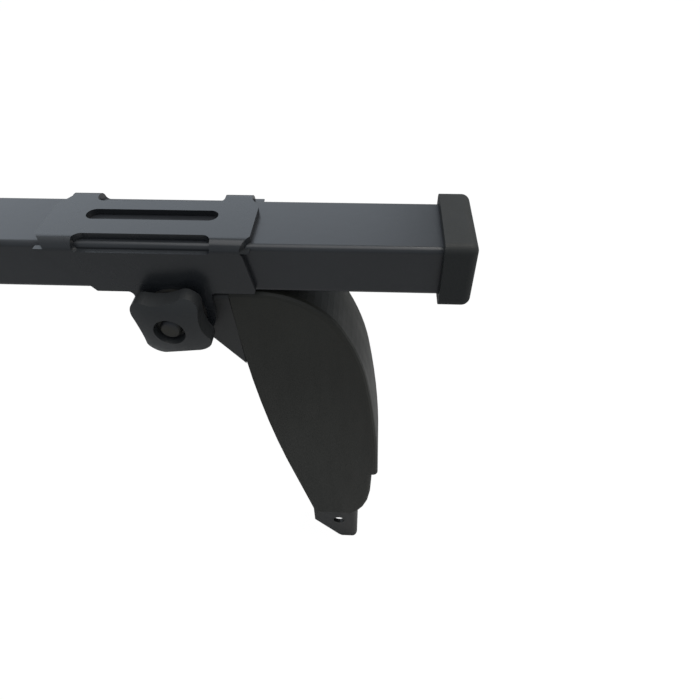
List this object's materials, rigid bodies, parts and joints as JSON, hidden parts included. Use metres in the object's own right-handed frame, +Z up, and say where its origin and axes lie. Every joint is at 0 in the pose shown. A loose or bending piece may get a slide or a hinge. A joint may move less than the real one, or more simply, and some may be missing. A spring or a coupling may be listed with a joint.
{
  "type": "roof rack crossbar",
  "caption": "Rectangular-tube roof rack crossbar with end caps, clamp feet that slide along it, covered pressed-steel legs and lobed clamp knobs.",
  "frame": {"origin": "middle of the bounding box's base, level with the leg tips", "axes": "+X along the bar to its pictured end, -Y towards the knobs, +Z up"},
  "size_m": [1.2, 0.0505, 0.2271],
  "materials": {
    "bar_steel": "satin",
    "cap_plastic": "moulded, fine grain",
    "gloss_black_steel": "semi-gloss",
    "black_steel": "satin",
    "pad_rubber": "matt",
    "cover_plastic": "matt, fine grain",
    "zinc_steel": "zinc plated",
    "knob_plastic": "satin"
  },
  "bodies": {
    "bar": {"bar": "bar_steel", "cap_r": "cap_plastic", "cap_l": "cap_plastic"},
    "foot_r": {"saddle_r": "gloss_black_steel", "leg_r": "black_steel", "bar_pad_r": "pad_rubber", "cover_r": "cover_plastic", "cover_screws_r": "zinc_steel", "bolt_r": "zinc_steel"},
    "washer_r": {"washer_r": "zinc_steel"},
    "knob_r": {"knob_r": "knob_plastic", "knob_nut_r": "zinc_steel"},
    "foot_l": {"saddle_l": "gloss_black_steel", "leg_l": "black_steel", "bar_pad_l": "pad_rubber", "cover_l": "cover_plastic", "cover_screws_l": "zinc_steel", "bolt_l": "zinc_steel"},
    "washer_l": {"washer_l": "zinc_steel"},
    "knob_l": {"knob_l": "knob_plastic", "knob_nut_l": "zinc_steel"}
  },
  "joints": [
    {"name": "foot_r_slide", "type": "slide", "parent": "bar", "child": "foot_r", "axis": [1, 0, 0], "range_m": [-0.44, 0.052]},
    {"name": "washer_r_shift", "type": "slide", "parent": "foot_r", "child": "washer_r", "axis": [0, -1, 0], "range_m": [0, 0.00501]},
    {"name": "knob_r_turn", "type": "hinge", "parent": "washer_r", "child": "knob_r", "pos_m": [0.4918, -0.01545, 0.1955], "axis": [0, -1, 0], "range_deg": [0, 1440]},
    {"name": "foot_l_slide", "type": "slide", "parent": "bar", "child": "foot_l", "axis": [-1, 0, 0], "range_m": [-0.44, 0.052]},
    {"name": "washer_l_shift", "type": "slide", "parent": "foot_l", "child": "washer_l", "axis": [0, -1, 0], "range_m": [0, 0.00501]},
    {"name": "knob_l_turn", "type": "hinge", "parent": "washer_l", "child": "knob_l", "pos_m": [-0.4918, -0.01545, 0.1955], "axis": [0, -1, 0], "range_deg": [0, 1440]}
  ],
  "couplings": [
    {"joint": "washer_r_shift", "follows": "knob_r_turn", "m_per_rad": 0.00019894},
    {"joint": "washer_l_shift", "follows": "knob_l_turn", "m_per_rad": 0.00019894}
  ]
}
